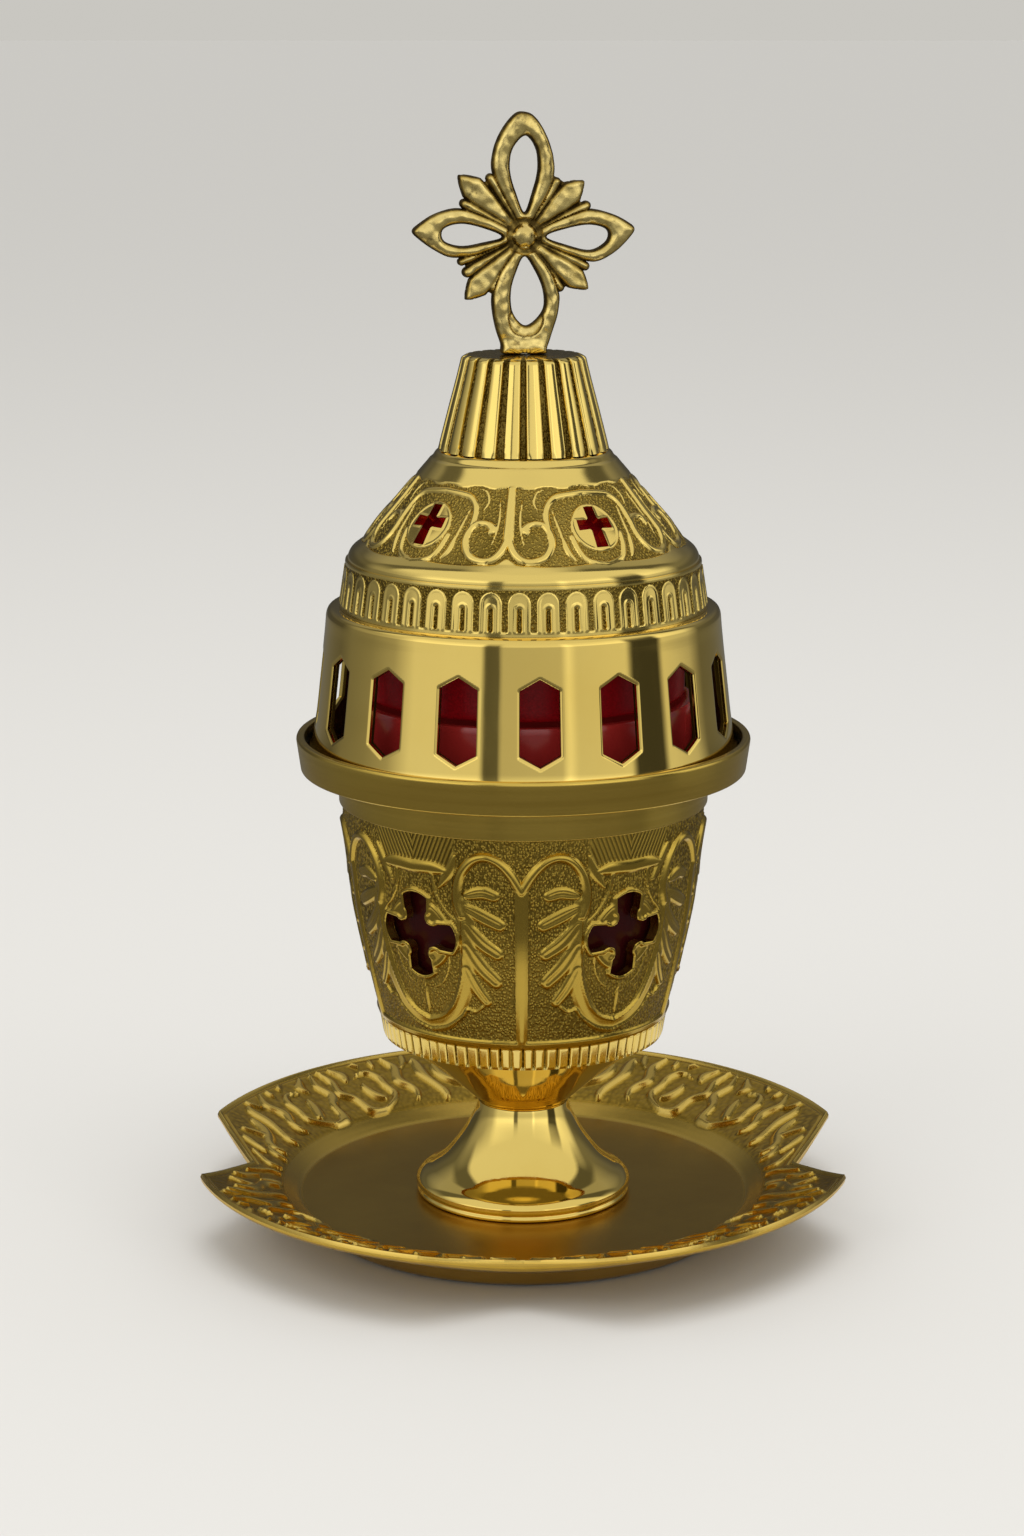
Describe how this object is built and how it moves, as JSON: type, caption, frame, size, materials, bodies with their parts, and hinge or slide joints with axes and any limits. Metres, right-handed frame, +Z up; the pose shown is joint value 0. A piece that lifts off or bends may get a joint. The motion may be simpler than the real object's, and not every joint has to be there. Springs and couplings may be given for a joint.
{
  "type": "ciborium-shaped vigil lamp",
  "caption": "Brass table vigil lamp of covered-cup form: pierced cup on a flared foot in a notched drip plate, ruby oil glass, lift-off pierced lid with a cross finial.",
  "frame": {"origin": "centre of the drip plate's flat underside, on the table", "axes": "+Z up along the lamp's own axis, -Y towards the front, so the cross finial's flat faces look along -Y and +Y; +X to the right seen from the front"},
  "size_m": [0.1306, 0.1306, 0.2244],
  "materials": {
    "plate_brass": "brushed and lightly aged, with bright high points on the embossed border",
    "polished_brass": "mirror polished",
    "cast_brass": "cast relief with a stippled, darkened ground and burnished high points",
    "turned_brass": "lathe turned, fine circular brushing",
    "antique_brass": "cast and antiqued, dark in the hollows",
    "steel": "plain turned steel",
    "ruby_glass": "ruby red pressed glass, finely grained inside",
    "cork": "natural cork",
    "fibre": "pressed fibre sheet",
    "cotton": "braided cotton"
  },
  "bodies": {
    "plate": {"drip_plate": "plate_brass"},
    "stand": {"lamp_foot": "polished_brass", "stem_bowl": "polished_brass", "pierced_cup": "cast_brass", "rim_ring": "turned_brass", "tie_rod": "steel", "foot_washer": "steel", "foot_nut": "steel", "cup_washer": "steel", "cup_nut": "steel"},
    "glass": {"oil_glass": "ruby_glass"},
    "float": {"float_cork": "cork", "float_plate": "polished_brass", "wick_tube": "polished_brass", "wick": "cotton"},
    "lid": {"lid_gallery": "polished_brass", "lid_dome": "cast_brass", "finial_cap": "polished_brass", "finial_cross": "antique_brass", "finial_stud": "steel", "liner_glass": "ruby_glass", "upper_gasket": "fibre", "lower_gasket": "fibre", "finial_washer": "steel", "finial_nut": "steel"}
  },
  "joints": [
    {"name": "lamp_lift", "type": "slide", "parent": "plate", "child": "stand", "axis": [0, 0, 1], "range_m": [0, 0.06]},
    {"name": "glass_lift", "type": "slide", "parent": "stand", "child": "glass", "axis": [0, 0, 1], "range_m": [0, 0.075]},
    {"name": "lid_lift", "type": "slide", "parent": "glass", "child": "lid", "axis": [0, 0, 1], "range_m": [0, 0.09]},
    {"name": "float_rise", "type": "slide", "parent": "glass", "child": "float", "axis": [0, 0, 1], "range_m": [0, 0.035]}
  ]
}
